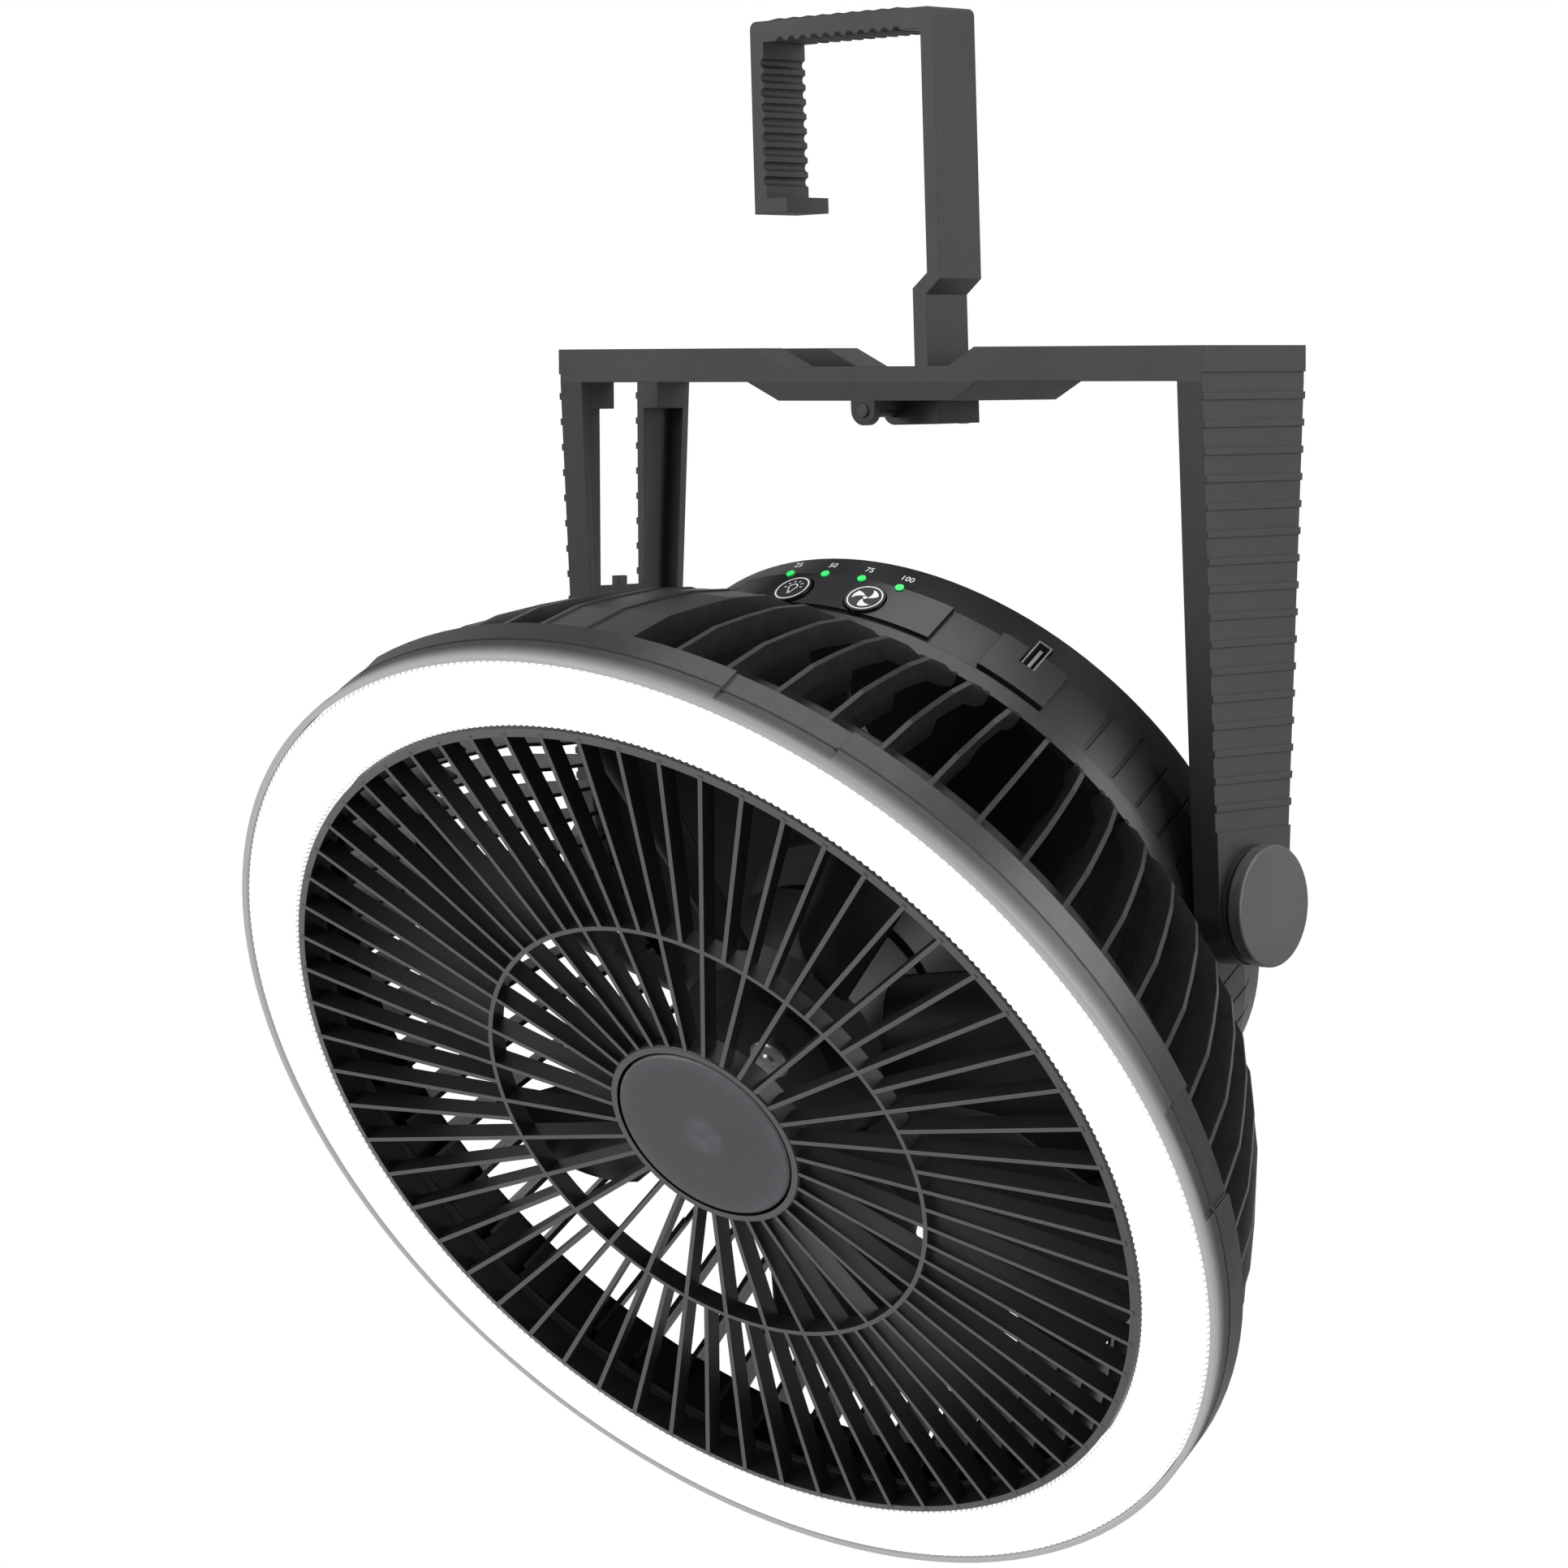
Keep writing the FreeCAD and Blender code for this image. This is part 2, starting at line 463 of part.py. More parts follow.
def make_button(label, side):
    """A round cap on a stem. It is drawn with its top face at zero and Z pointing out of the drum."""
    angle = size(f"panel_angle {side} button_spread / 2")
    body = new_body(label, outward(angle, size("drum_radius + panel_thick + button_proud"), size("button_ahead")))
    cap = new_sketch(body, "XY_Plane", label + "_cap_face")
    disc(cap, "0", "0", "button_radius")
    pad(body, cap, "drum_wall + panel_thick + button_proud", label + "_cap", reverse=True)
    stem = new_sketch(body, "XY_Plane", label + "_stem_face", up="-drum_wall - panel_thick - button_proud")
    disc(stem, "0", "0", "1.5")
    pad(body, stem, "3", label + "_stem", reverse=True)
    switch = new_body(label.replace("button", "switch"),
                      outward(angle, size("drum_radius - drum_wall - 3 - button_travel - 0.3"), size("button_ahead")))
    seat = new_sketch(switch, "XY_Plane", label + "_switch_face")
    block(seat, "-3", "3", "-3", "3")
    pad(switch, seat, "drum_radius - drum_wall - 3 - button_travel - 0.3 - inner_board", label + "_switch", reverse=True)
    return body, switch


def make_indicators():
    """Four small charge lights, one row behind the buttons, standing on the panel's face."""
    lights = []
    for number in range(4):
        angle = size("panel_angle") + size("led_spread") * (1.5 - number)
        light = new_body(f"charge_light_{number + 1}",
                         outward(angle, size("drum_radius + panel_thick"), -size("led_behind") + 1.4))
        face = new_sketch(light, "XY_Plane", f"light_face_{number + 1}", up="0.06")
        disc(face, "0", "0", "led_radius")
        pad(light, face, "0.3", f"light_{number + 1}")
        lights.append(light)
    return lights


def make_inner():
    """Board, cells and plates that the closed drum holds."""
    board = new_body("control_board", turned(size("panel_angle")))
    face = new_sketch(board, "YZ_Plane", "board_face", up="inner_board - 2.6")
    block(face, "-26", "26", "-drum_rear + 2.2 * drum_round", "drum_front")
    pad(board, face, "1.4", "board")
    for number in range(4):
        cell = new_body(f"battery_cell_{number + 1}", HEAD)
        row = size("cell_pitch") * (number - 2.6) - 8
        face = new_sketch(cell, "YZ_Plane", f"cell_face_{number + 1}", up="-cell_length / 2")
        disc(face, str(row), "-drum_rear + drum_wall + cell_radius + 0.1", "cell_radius")
        pad(cell, face, "cell_length", f"cell_{number + 1}")
    plate = new_body("motor_plate", HEAD)
    ring(plate, "plate", [("0", "drum_front"), ("drum_radius - drum_wall + 0.8", "drum_front"),
                          ("drum_radius - drum_wall + 0.8", "drum_front + plate_thick"),
                          ("0", "drum_front + plate_thick")])
    motor = new_body("motor_housing", HEAD)
    bore = "(shaft_radius + run_gap)"
    ring(motor, "motor", [(bore, "drum_front + plate_thick"), ("motor_radius", "drum_front + plate_thick"),
                          ("motor_radius", "motor_front - 12"), ("motor_radius - 4", "motor_front - 2"),
                          ("motor_radius - 8", "motor_front"), (bore, "motor_front")])


# Shroud: meridian fins between a rear ring on the drum and the bezel's rear band.
FLARE = [
    ("fin_root", "drum_front + 4"), ("fin_root + 1.2", "drum_front + 6"),
    ("fin_root + 10.5", "drum_front + 13"), ("fin_root + 20", "drum_front + 22"),
    ("fin_root + 27", "drum_front + 33"), ("fin_root + 32.5", "drum_front + 44"),
    ("fin_root + 37.5", "drum_front + 55"), ("bezel_radius - 1.8", "bezel_rear + 1"),
]


def make_shroud():
    root = "(drum_radius + 1)"
    body = new_body("louver_shroud", HEAD)
    outer = [(x.replace("fin_root", root), y) for x, y in FLARE]
    inner = [(f"{x} - fin_deep", y) for x, y in outer]
    inner[0] = ("drum_radius - drum_wall + 1", outer[0][1])
    inner[1] = ("drum_radius - drum_wall + 1", outer[1][1])
    ring(body, "rear_ring", [("drum_radius - drum_wall + 1", "drum_front"), (root, "drum_front"),
                             (root, "drum_front + 4.5"), ("drum_radius - drum_wall + 1", "drum_front + 4.5")])
    band = new_sketch(body, "XZ_Plane", "band_section")
    block(band, "bezel_radius - 8.5", "bezel_radius", "bezel_rear", "bezel_split")
    revolve(body, band, "band")
    fin = new_sketch(body, "XZ_Plane", "fin_face", turn="fin_first")
    outline(fin, outer + inner[::-1])
    first = pad(body, fin, "fin_thick", "fin", both=True)
    circle_of(body, first, "fin_count", "fins")
    duct = new_sketch(body, "XZ_Plane", "duct_face", turn="fin_first + 360 / fin_count * duct_fin")
    skin = [[(f"{x} - {inset}", y) for x, y in outer[2:]] for inset in ("duct_inset", "duct_inset - duct_skin")]
    outline(duct, skin[0] + skin[1][::-1])
    revolve(body, duct, "duct", angle="360 / fin_count * 2")
    cut_recesses(body, "bezel_rear - 1", "bezel_split + 1", "band")
    return body


def cut_recesses(body, low, high, word):
    """Shallow steps round the outside of the bezel."""
    face = new_sketch(body, "XZ_Plane", f"{word}_recess_section")
    block(face, "bezel_radius - recess_deep", "bezel_radius + 1", low, high)
    first = revolve(body, face, f"{word}_recess", kind="Groove", angle="recess_angle")
    return circle_of(body, first, "recess_count", f"{word}_recesses")


def make_bezel():
    body = new_body("front_bezel", HEAD)
    ring(body, "bezel", [
        ("rim_inner - 0.2", "bezel_split"), ("bezel_radius", "bezel_split"), ("bezel_radius", "bezel_front - 0.8"),
        ("bezel_radius - 0.5", "bezel_front"), ("bezel_radius - bezel_wall", "bezel_front"),
        ("bezel_radius - bezel_wall", "bezel_split + 1.5"), ("rim_inner - 0.2", "bezel_split + 1.5"),
    ])
    cut_recesses(body, "bezel_split - 1", "bezel_front - 2.4", "front")
    board = new_body("led_board", HEAD)
    floor = "bezel_split + 1.5"
    ring(board, "led_ring", [("lens_inner + lens_wall + 0.3", floor), ("lens_outer - lens_wall - 0.3", floor),
                             ("lens_outer - lens_wall - 0.3", f"{floor} + board_thick"),
                             ("lens_inner + lens_wall + 0.3", f"{floor} + board_thick")])
    chips = new_sketch(board, "XY_Plane", "chip_face", up=f"{floor} + board_thick")
    middle = "(lens_inner + lens_outer) / 2"
    block(chips, f"{middle} - chip_size / 2", f"{middle} + chip_size / 2", "-chip_size / 2", "chip_size / 2")
    first = pad(board, chips, "chip_tall", "chip")
    circle_of(board, first, "chip_count", "chips")
    lens = new_body("led_lens", HEAD)
    ring(lens, "lens", [
        ("lens_outer", floor), ("lens_outer", "bezel_front - 0.8"), ("lens_outer - 3", "lens_crown - 1.3"),
        ("lens_outer - 6.6", "lens_crown - 0.2"), ("lens_inner + 4", "lens_crown"),
        ("lens_inner", "lens_crown - 1"), ("lens_inner", floor), ("lens_inner + lens_wall", floor),
        ("lens_inner + lens_wall", "lens_crown - 1 - lens_wall"), ("lens_inner + 4", "lens_crown - lens_wall"),
        ("lens_outer - 6.6", "lens_crown - 0.2 - lens_wall"), ("lens_outer - 3.6", "lens_crown - 1.3 - lens_wall"),
        ("lens_outer - lens_wall", "bezel_front - 1.4"), ("lens_outer - lens_wall", floor),
    ])


# Grille: 66 bars outside the middle ring and every second one carried on to the hub.
def make_grille():
    body = new_body("front_grille", HEAD)
    back = "(grille_face - bar_deep)"
    ring(body, "rim", [("rim_inner", "bezel_split + 1.5"), ("rim_outer", "bezel_split + 1.5"),
                       ("rim_outer", "grille_face - 0.4"), ("rim_inner", "grille_face")])
    long_bar = new_sketch(body, "XY_Plane", "long_bar_face", up=back)
    turn_face(long_bar, "bar_first")
    block(long_bar, "hub_outer - 1", "rim_inner + 0.9", "-bar_wide / 2", "bar_wide / 2")
    first = pad(body, long_bar, "bar_deep", "long_bar")
    circle_of(body, first, "bar_pairs", "long_bars")
    short = new_sketch(body, "XY_Plane", "short_bar_face", up=back)
    turn_face(short, "bar_first + 180 / bar_pairs")
    block(short, "mid_ring", "rim_inner + 0.9", "-bar_wide / 2", "bar_wide / 2")
    second = pad(body, short, "bar_deep", "short_bar")
    circle_of(body, second, "bar_pairs", "short_bars")
    middle = new_sketch(body, "XZ_Plane", "middle_ring_section")
    block(middle, "mid_ring - bar_wide / 2", "mid_ring + bar_wide / 2", back, "grille_face")
    revolve(body, middle, "middle_ring")
    hub = new_sketch(body, "XZ_Plane", "hub_section")
    outline(hub, [("0", f"{back} - hub_floor"), ("hub_outer", f"{back} - hub_floor"),
                  ("hub_outer", "grille_face - 0.3"), ("hub_outer - 0.4", "grille_face + 0.1"),
                  ("hub_inner", "grille_face + 0.1"), ("hub_inner", back), ("0", back)])
    revolve(body, hub, "hub")
    cap = new_body("grille_cap", HEAD)
    ring(cap, "cap_disc", [("0", back), ("hub_inner - 0.7", back), ("hub_inner - 0.7", "grille_face - 0.1"),
                           ("hub_inner - 1.2", "grille_face + 0.3"), ("0", "grille_face + 0.5")])


# Rotor: a hub with twisted, cambered blades on a steel shaft.
def make_rotor():
    body = new_body("impeller", HEAD)
    bore = "(shaft_radius + 0.02)"
    ring(body, "rotor_hub", [
        (bore, "hub_rear"), ("hub_radius", "hub_rear"), ("hub_radius", "hub_front - 6"),
        ("hub_radius - 4", "hub_front - 1.5"), ("hub_radius - 12", "hub_front"), (bore, "hub_front"),
    ])
    sections = []
    for number, share in enumerate((0.0, 0.5, 1.0)):
        radius = f"(blade_root + (blade_tip - blade_root) * {share})"
        slant = f"90 - blade_pitch + blade_twist * {share}"
        section = new_sketch(body, "YZ_Plane", f"blade_section_{number}", up=radius)
        spot = section.AttachmentOffset.Base
        section.AttachmentOffset = FreeCAD.Placement(
            FreeCAD.Vector(0, size("blade_middle"), spot.z), FreeCAD.Rotation(FreeCAD.Vector(0, 0, 1), size(slant) - 90)
        )
        chord = size(f"blade_chord * (0.62 + 0.38 * {share})") / 2
        camber = size("blade_camber")
        ends = FreeCAD.Vector(-chord, 0, 0), FreeCAD.Vector(chord, 0, 0)
        for bulge in (camber + size("blade_thick"), camber):
            section.addGeometry(Part.Arc(ends[0], FreeCAD.Vector(0, bulge, 0), ends[1]), False)
        sections.append(section)
    blade = body.newObject("PartDesign::AdditiveLoft", "blade")
    blade.Profile = sections[0]
    blade.Sections = sections[1:]
    circle_of(body, blade, "blade_count", "blades")
    shaft = new_body("motor_shaft", HEAD)
    ring(shaft, "shaft", [("0", "drum_front + plate_thick + 2"), ("shaft_radius", "drum_front + plate_thick + 2"),
                          ("shaft_radius", "hub_front + 1.5"), ("shaft_radius - 0.5", "hub_front + 2"),
                          ("0", "hub_front + 2")])
    nut = new_body("rotor_nut", HEAD)
    ring(nut, "nut", [("shaft_radius + 0.02", "hub_front"), ("5", "hub_front"), ("5", "hub_front + 1"),
                      ("4.5", "hub_front + 1.5"), ("shaft_radius + 0.02", "hub_front + 1.5")])


make_stand()
make_pin()
make_hook()
make_pivot("-", "left")
make_pivot("", "right")
make_drum()
make_port()
make_panel()
make_button("light_button", "+")
make_button("fan_button", "-")
make_indicators()
make_inner()
make_shroud()
make_bezel()
make_grille()
make_rotor()
doc.recompute()

for item in doc.Objects:
    if "Invalid" in item.State or "Error" in item.State:
        raise RuntimeError(f"{item.Label} failed: {item.State}")
for piece in PIECES:
    if piece.Shape.isNull() or not piece.Shape.isValid():
        raise RuntimeError(f"{piece.Label} has no valid shape")
    if len(piece.Shape.Solids) != 1:
        raise RuntimeError(f"{piece.Label} has {len(piece.Shape.Solids)} solids")

os.makedirs("parts", exist_ok=True)
for piece in PIECES:
    piece.Shape.exportStep(f"parts/{piece.Label}.step")
    box = piece.Shape.BoundBox
    print(f"{piece.Label}: {piece.Shape.Volume:.0f} mm3, {box.XLength:.1f} x {box.YLength:.1f} x {box.ZLength:.1f} mm")
for name, place in (("tilt axis", STAND), ("hook pin", STAND.multiply(PIN))):
    print(f"{name} at {place.Base.x:.3f}, {place.Base.y:.3f}, {place.Base.z:.3f}")
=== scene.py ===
import math

import bpy
import numpy as np
from mathutils import Matrix, Vector


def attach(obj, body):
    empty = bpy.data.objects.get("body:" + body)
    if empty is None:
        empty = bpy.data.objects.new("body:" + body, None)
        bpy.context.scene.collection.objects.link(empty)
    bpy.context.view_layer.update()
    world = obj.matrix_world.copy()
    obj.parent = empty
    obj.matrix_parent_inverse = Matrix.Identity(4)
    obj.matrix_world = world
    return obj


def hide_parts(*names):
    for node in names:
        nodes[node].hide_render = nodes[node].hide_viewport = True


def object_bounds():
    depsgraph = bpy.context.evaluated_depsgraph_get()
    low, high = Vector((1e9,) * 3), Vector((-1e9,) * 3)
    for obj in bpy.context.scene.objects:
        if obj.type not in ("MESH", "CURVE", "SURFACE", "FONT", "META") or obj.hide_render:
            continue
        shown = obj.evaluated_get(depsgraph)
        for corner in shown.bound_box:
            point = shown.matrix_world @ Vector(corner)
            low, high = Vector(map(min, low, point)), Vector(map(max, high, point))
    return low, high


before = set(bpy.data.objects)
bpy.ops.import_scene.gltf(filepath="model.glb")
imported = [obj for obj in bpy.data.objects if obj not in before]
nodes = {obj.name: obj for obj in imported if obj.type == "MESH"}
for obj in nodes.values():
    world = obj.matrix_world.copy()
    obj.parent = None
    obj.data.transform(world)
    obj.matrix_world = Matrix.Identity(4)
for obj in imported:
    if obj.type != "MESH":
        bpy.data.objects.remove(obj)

cadBox = [list(map(float, corner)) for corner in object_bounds()]
MM = 0.001

# The head is drawn in its own frame: u along X, v up the face, n out of the grille.
tilt = math.radians(32.25)
headOrigin = np.array([0.016851, 0.0, -0.194960])
headU = np.array([1.0, 0.0, 0.0])
headV = np.array([0.0, -math.sin(tilt), math.cos(tilt)])
headN = np.array([0.0, -math.cos(tilt), -math.sin(tilt)])


def headPoint(x, y, h):
    """Millimetres in the head's frame to metres in the row frame."""
    x, y, h = (part[..., None] for part in np.broadcast_arrays(x, y, h))
    return headOrigin + MM * (x * headU + y * headV + h * headN)


def addToScene(name, data):
    thing = bpy.data.objects.new(name, data)
    bpy.context.scene.collection.objects.link(thing)
    return thing


def buildMesh(name, points, faces, material, smooth=True):
    mesh = bpy.data.meshes.new(name)
    mesh.from_pydata([tuple(p) for p in points], [], faces)
    mesh.materials.append(material)
    if smooth:
        mesh.shade_smooth()
    else:
        mesh.shade_flat()
    piece = addToScene(name, mesh)
    return piece


def gridFaces(rows, columns, closed=False):
    """Quads of a rows by columns grid of points; closed joins the last row to the first."""
    faces = []
    for i in range(rows if closed else rows - 1):
        low, high = i * columns, ((i + 1) % rows) * columns
        faces += [(low + j, low + j + 1, high + j + 1, high + j) for j in range(columns - 1)]
    return faces


def resample(section, count):
    """Radii and heights of count points along a section's (radius, height) corners."""
    corners = np.array(section)
    along = np.linspace(0, len(corners) - 1, count)
    number = np.arange(len(corners))
    return [np.interp(along, number, corners[:, column]) for column in (0, 1)]


class Nodes:
    """A material with a Principled shader, and short ways to add nodes to it."""

    def __init__(self, name):
        self.material = bpy.data.materials.new(name)
        self.material.use_nodes = True
        self.tree = self.material.node_tree
        self.tree.nodes.clear()
        self.shader = self.add("ShaderNodeBsdfPrincipled")
        self.out = self.add("ShaderNodeOutputMaterial")
        self.link(self.shader.outputs[0], self.out.inputs["Surface"])
        self.coord = self.add("ShaderNodeTexCoord")

    def add(self, kind, **settings):
        node = self.tree.nodes.new(kind)
        for key, value in settings.items():
            setattr(node, key, value)
        return node

    def link(self, a, b):
        self.tree.links.new(a, b)

    def noise(self, scale, detail=3.0):
        node = self.add("ShaderNodeTexNoise")
        node.inputs["Scale"].default_value = scale
        node.inputs["Detail"].default_value = detail
        self.link(self.coord.outputs["Object"], node.inputs["Vector"])
        return node.outputs["Fac"]

    def remap(self, source, low, high, newLow, newHigh):
        node = self.add("ShaderNodeMapRange", clamp=True)
        limits = {"From Min": low, "From Max": high, "To Min": newLow, "To Max": newHigh}
        for key, value in limits.items():
            node.inputs[key].default_value = value
        self.link(source, node.inputs["Value"])
        return node.outputs["Result"]

    def mixColour(self, factor, a, b):
        node = self.add("ShaderNodeMix", data_type="RGBA")
        self.link(factor, node.inputs["Factor"])
        for key, value in (("A", a), ("B", b)):
            sockets = [s for s in node.inputs if s.name == key and s.type == "RGBA"]
            if isinstance(value, tuple):
                sockets[0].default_value = (*value, 1.0)
            else:
                self.link(value, sockets[0])
        return [s for s in node.outputs if s.type == "RGBA"][0]

    def math(self, operation, a, b):
        node = self.add("ShaderNodeMath", operation=operation)
        for socket, value in zip(node.inputs, (a, b)):
            if isinstance(value, (int, float)):
                socket.default_value = value
            else:
                self.link(value, socket)
        return node.outputs[0]

    def vector(self, operation, a, b, output="Vector"):
        node = self.add("ShaderNodeVectorMath", operation=operation)
        for socket, value in zip(node.inputs, (a, b)):
            if isinstance(value, np.ndarray):
                socket.default_value = tuple(value)
            else:
                self.link(value, socket)
        return node.outputs[output]

    def headHeight(self):
        """Distance out of the grille from the tilt axis, in metres."""
        offset = self.vector("SUBTRACT", self.coord.outputs["Object"], headOrigin)
        return self.vector("DOT_PRODUCT", offset, headN, "Value")


def scaled(colour, share):
    return tuple(min(1.0, c * share) for c in colour)


# Noise scales are per metre and depths are in metres. NOISE is the part of a noise that is used.
NOISE = (0.3, 0.7)
mould = {
    "blotch": 38.0, "blotchDetail": 4.0, "dark": 0.93, "light": 1.07,
    "edge": (0.505, 0.56), "edgeShare": 0.75, "scuff": 420.0, "scuffNoise": (0.35, 0.65),
    "highlightFacing": (0.8, 0.97), "gloss": 22.0, "glossBand": 0.06,
    "grain": 1400.0, "grainDetail": 2.0, "grainStrength": 0.5, "bevelSamples": 4,
}


def plastic(name, colour, rough, grainDepth=0.00003, wearAndRimHighlight=1.6, bevel=0.00035, frontHighlight=None):
    """Moulded plastic: fine grain, uneven roughness, and lighter edges: handling wear, which on
    the fins is set strong enough to paint their rim highlights.
    """
    k = Nodes(name)
    blotch = k.remap(k.noise(mould["blotch"], mould["blotchDetail"]), *NOISE, 0, 1)
    base = k.mixColour(blotch, scaled(colour, mould["dark"]), scaled(colour, mould["light"]))
    geometry = k.add("ShaderNodeNewGeometry")
    # Edges lighten: handling wear, and on the fins a painted rim highlight.
    edge = k.remap(geometry.outputs["Pointiness"], *mould["edge"], 0.0, mould["edgeShare"])
    scuff = k.remap(k.noise(mould["scuff"]), *mould["scuffNoise"], 0.5, 1.0)
    base = k.mixColour(k.math("MULTIPLY", edge, scuff), base, scaled(colour, wearAndRimHighlight))
    # Painted highlight: faces turned out of the grille are mixed towards a lighter colour, as if
    # lit from the front.
    if frontHighlight:
        highlightFacing = k.vector("DOT_PRODUCT", k.coord.outputs["Normal"], headN, "Value")
        base = k.mixColour(k.remap(highlightFacing, *mould["highlightFacing"], 0.0, 1.0), base, frontHighlight)
    k.link(base, k.shader.inputs["Base Color"])
    low, high = rough - mould["glossBand"], rough + mould["glossBand"]
    k.link(k.remap(k.noise(mould["gloss"]), *NOISE, low, high), k.shader.inputs["Roughness"])
    rounded = k.add("ShaderNodeBevel", samples=mould["bevelSamples"])
    rounded.inputs["Radius"].default_value = bevel
    bump = k.add("ShaderNodeBump")
    bump.inputs["Strength"].default_value = mould["grainStrength"]
    bump.inputs["Distance"].default_value = grainDepth
    k.link(k.noise(mould["grain"], mould["grainDetail"]), bump.inputs["Height"])
    k.link(rounded.outputs[0], bump.inputs["Normal"])
    k.link(bump.outputs[0], k.shader.inputs["Normal"])
    return k


charcoal = (0.021, 0.021, 0.0222)
standPlastic = plastic("standPlastic", charcoal, 0.46).material
hookPlastic = plastic("hookPlastic", charcoal, 0.44).material
drumPlastic = plastic("drumPlastic", (0.014, 0.014, 0.015), 0.36, grainDepth=0.00002).material
# On the fins the strong edge lightening is a painted rim highlight.
finPlastic = plastic("finPlastic", (0.009, 0.009, 0.0095), 0.32, grainDepth=0.00001, wearAndRimHighlight=3.0,
                     bevel=0.0003).material
innerPlastic = plastic("innerPlastic", (0.003, 0.003, 0.0033), 0.4, grainDepth=0.00001).material
capPlastic = plastic("capPlastic", (0.066, 0.066, 0.07), 0.42, grainDepth=0.00001,
                     wearAndRimHighlight=1.8).material
# The grille gets a painted highlight on the faces turned out of it.
grillePlastic = plastic("grillePlastic", (0.008, 0.008, 0.0085), 0.42, grainDepth=0.00001,
                        wearAndRimHighlight=1.3, bevel=0.0002, frontHighlight=(0.15, 0.15, 0.153)).material
hubPlastic = plastic("hubPlastic", (0.11, 0.111, 0.117), 0.42, grainDepth=0.00001).material

# Light from the lens bleeds into the bezel between these two heights, in metres.
bleed = {"low": 0.0872, "high": 0.0918, "power": 1.6, "strength": 0.4}


def bezelMaterial():
    """Charcoal that brightens towards the lit lens, as light bleeds into the rim."""
    k = plastic("bezelPlastic", charcoal, 0.42)
    near = k.remap(k.headHeight(), bleed["low"], bleed["high"], 0.0, 1.0)
    glow = k.math("MULTIPLY", k.math("POWER", near, bleed["power"]), bleed["strength"])
    k.shader.inputs["Emission Color"].default_value = (1, 1, 1, 1)
    k.link(glow, k.shader.inputs["Emission Strength"])
    return k.material


bezelPlastic = bezelMaterial()

polish = {
    "tone": 60.0, "dark": 0.9, "light": 1.1, "gloss": 30.0, "glossBand": 0.05, "glossLeast": 0.02,
    "bumpDepth": 0.00001, "bumpStrength": 0.4, "bumpDetail": 2.0,
    "glow": 300.0, "glowNoise": (0.2, 0.8), "glowDark": 0.9, "glowLight": 1.1,
}


def plain(name, colour, rough, metal=0.0, coat=0.0, bumpScale=900.0, glow=0.0):
    """A smooth part: slight changes of tone and roughness, and a faint ripple."""
    k = Nodes(name)
    tones = scaled(colour, polish["dark"]), scaled(colour, polish["light"])
    k.link(k.mixColour(k.noise(polish["tone"]), *tones), k.shader.inputs["Base Color"])
    low = max(polish["glossLeast"], rough - polish["glossBand"])
    high = rough + polish["glossBand"]
    k.link(k.remap(k.noise(polish["gloss"]), *NOISE, low, high), k.shader.inputs["Roughness"])
    k.shader.inputs["Metallic"].default_value = metal
    k.shader.inputs["Coat Weight"].default_value = coat
    bump = k.add("ShaderNodeBump")
    bump.inputs["Distance"].default_value = polish["bumpDepth"]
    bump.inputs["Strength"].default_value = polish["bumpStrength"]
    k.link(k.noise(bumpScale, polish["bumpDetail"]), bump.inputs["Height"])
    k.link(bump.outputs[0], k.shader.inputs["Normal"])
    # Emission: the charge lights' own light, and on the print a faint painted glow.
    if glow:
        k.shader.inputs["Emission Color"].default_value = (*colour, 1)
        limits = glow * polish["glowDark"], glow * polish["glowLight"]
        k.link(k.remap(k.noise(polish["glow"]), *polish["glowNoise"], *limits),
               k.shader.inputs["Emission Strength"])
    return k.material


panelGloss = plain("panelGloss", (0.005, 0.005, 0.0055), 0.22, bumpScale=60.0)
buttonGloss = plain("buttonGloss", (0.006, 0.006, 0.0065), 0.25, bumpScale=80.0)
steel = plain("steel", (0.5, 0.5, 0.51), 0.3, metal=1.0, bumpScale=1500.0)
portMetal = plain("portMetal", (0.38, 0.38, 0.39), 0.35, metal=1.0)
boardWhite = plain("boardWhite", (0.72, 0.73, 0.7), 0.5)
cellWrap = plain("cellWrap", (0.05, 0.16, 0.35), 0.35, coat=0.3)
switchBlack = plain("switchBlack", (0.02, 0.02, 0.02), 0.5)
chargeGreen = plain("chargeGreen", (0.03, 0.6, 0.12), 0.3, glow=0.7)
# Printed marks, with a faint painted glow that keeps them bright.
printWhite = plain("printWhite", (0.82, 0.82, 0.82), 0.5, glow=0.12)
seamDark = plain("seamDark", (0.004, 0.004, 0.004), 0.6)

FINISH = {
    "stand_frame": standPlastic, "hook": hookPlastic, "hook_pin": standPlastic,
    "pivot_ring_left": standPlastic, "pivot_ring_right": standPlastic,
    "pivot_cap_left": capPlastic, "pivot_cap_right": capPlastic,
    "pivot_screw_left": steel, "pivot_screw_right": steel,
    "rear_housing": drumPlastic, "port_surround": drumPlastic, "charging_port": portMetal,
    "control_panel": panelGloss, "light_button": buttonGloss, "fan_button": buttonGloss,
    "light_switch": switchBlack, "fan_switch": switchBlack, "control_board": boardWhite,
    "motor_plate": innerPlastic, "motor_housing": innerPlastic, "louver_shroud": finPlastic,
    "front_bezel": bezelPlastic, "led_board": boardWhite, "led_lens": printWhite,
    "front_grille": grillePlastic, "grille_cap": hubPlastic, "impeller": innerPlastic,
    "motor_shaft": steel, "rotor_nut": steel,
}
for number in range(1, 5):
    FINISH[f"charge_light_{number}"] = chargeGreen
    FINISH[f"battery_cell_{number}"] = cellWrap
for name, node in nodes.items():
    if not node.data.materials:
        node.data.materials.append(FINISH[name])
    for materialSlot in node.material_slots:
        materialSlot.link = "OBJECT"
        materialSlot.material = FINISH[name]
print("materials on", len(nodes), "nodes")


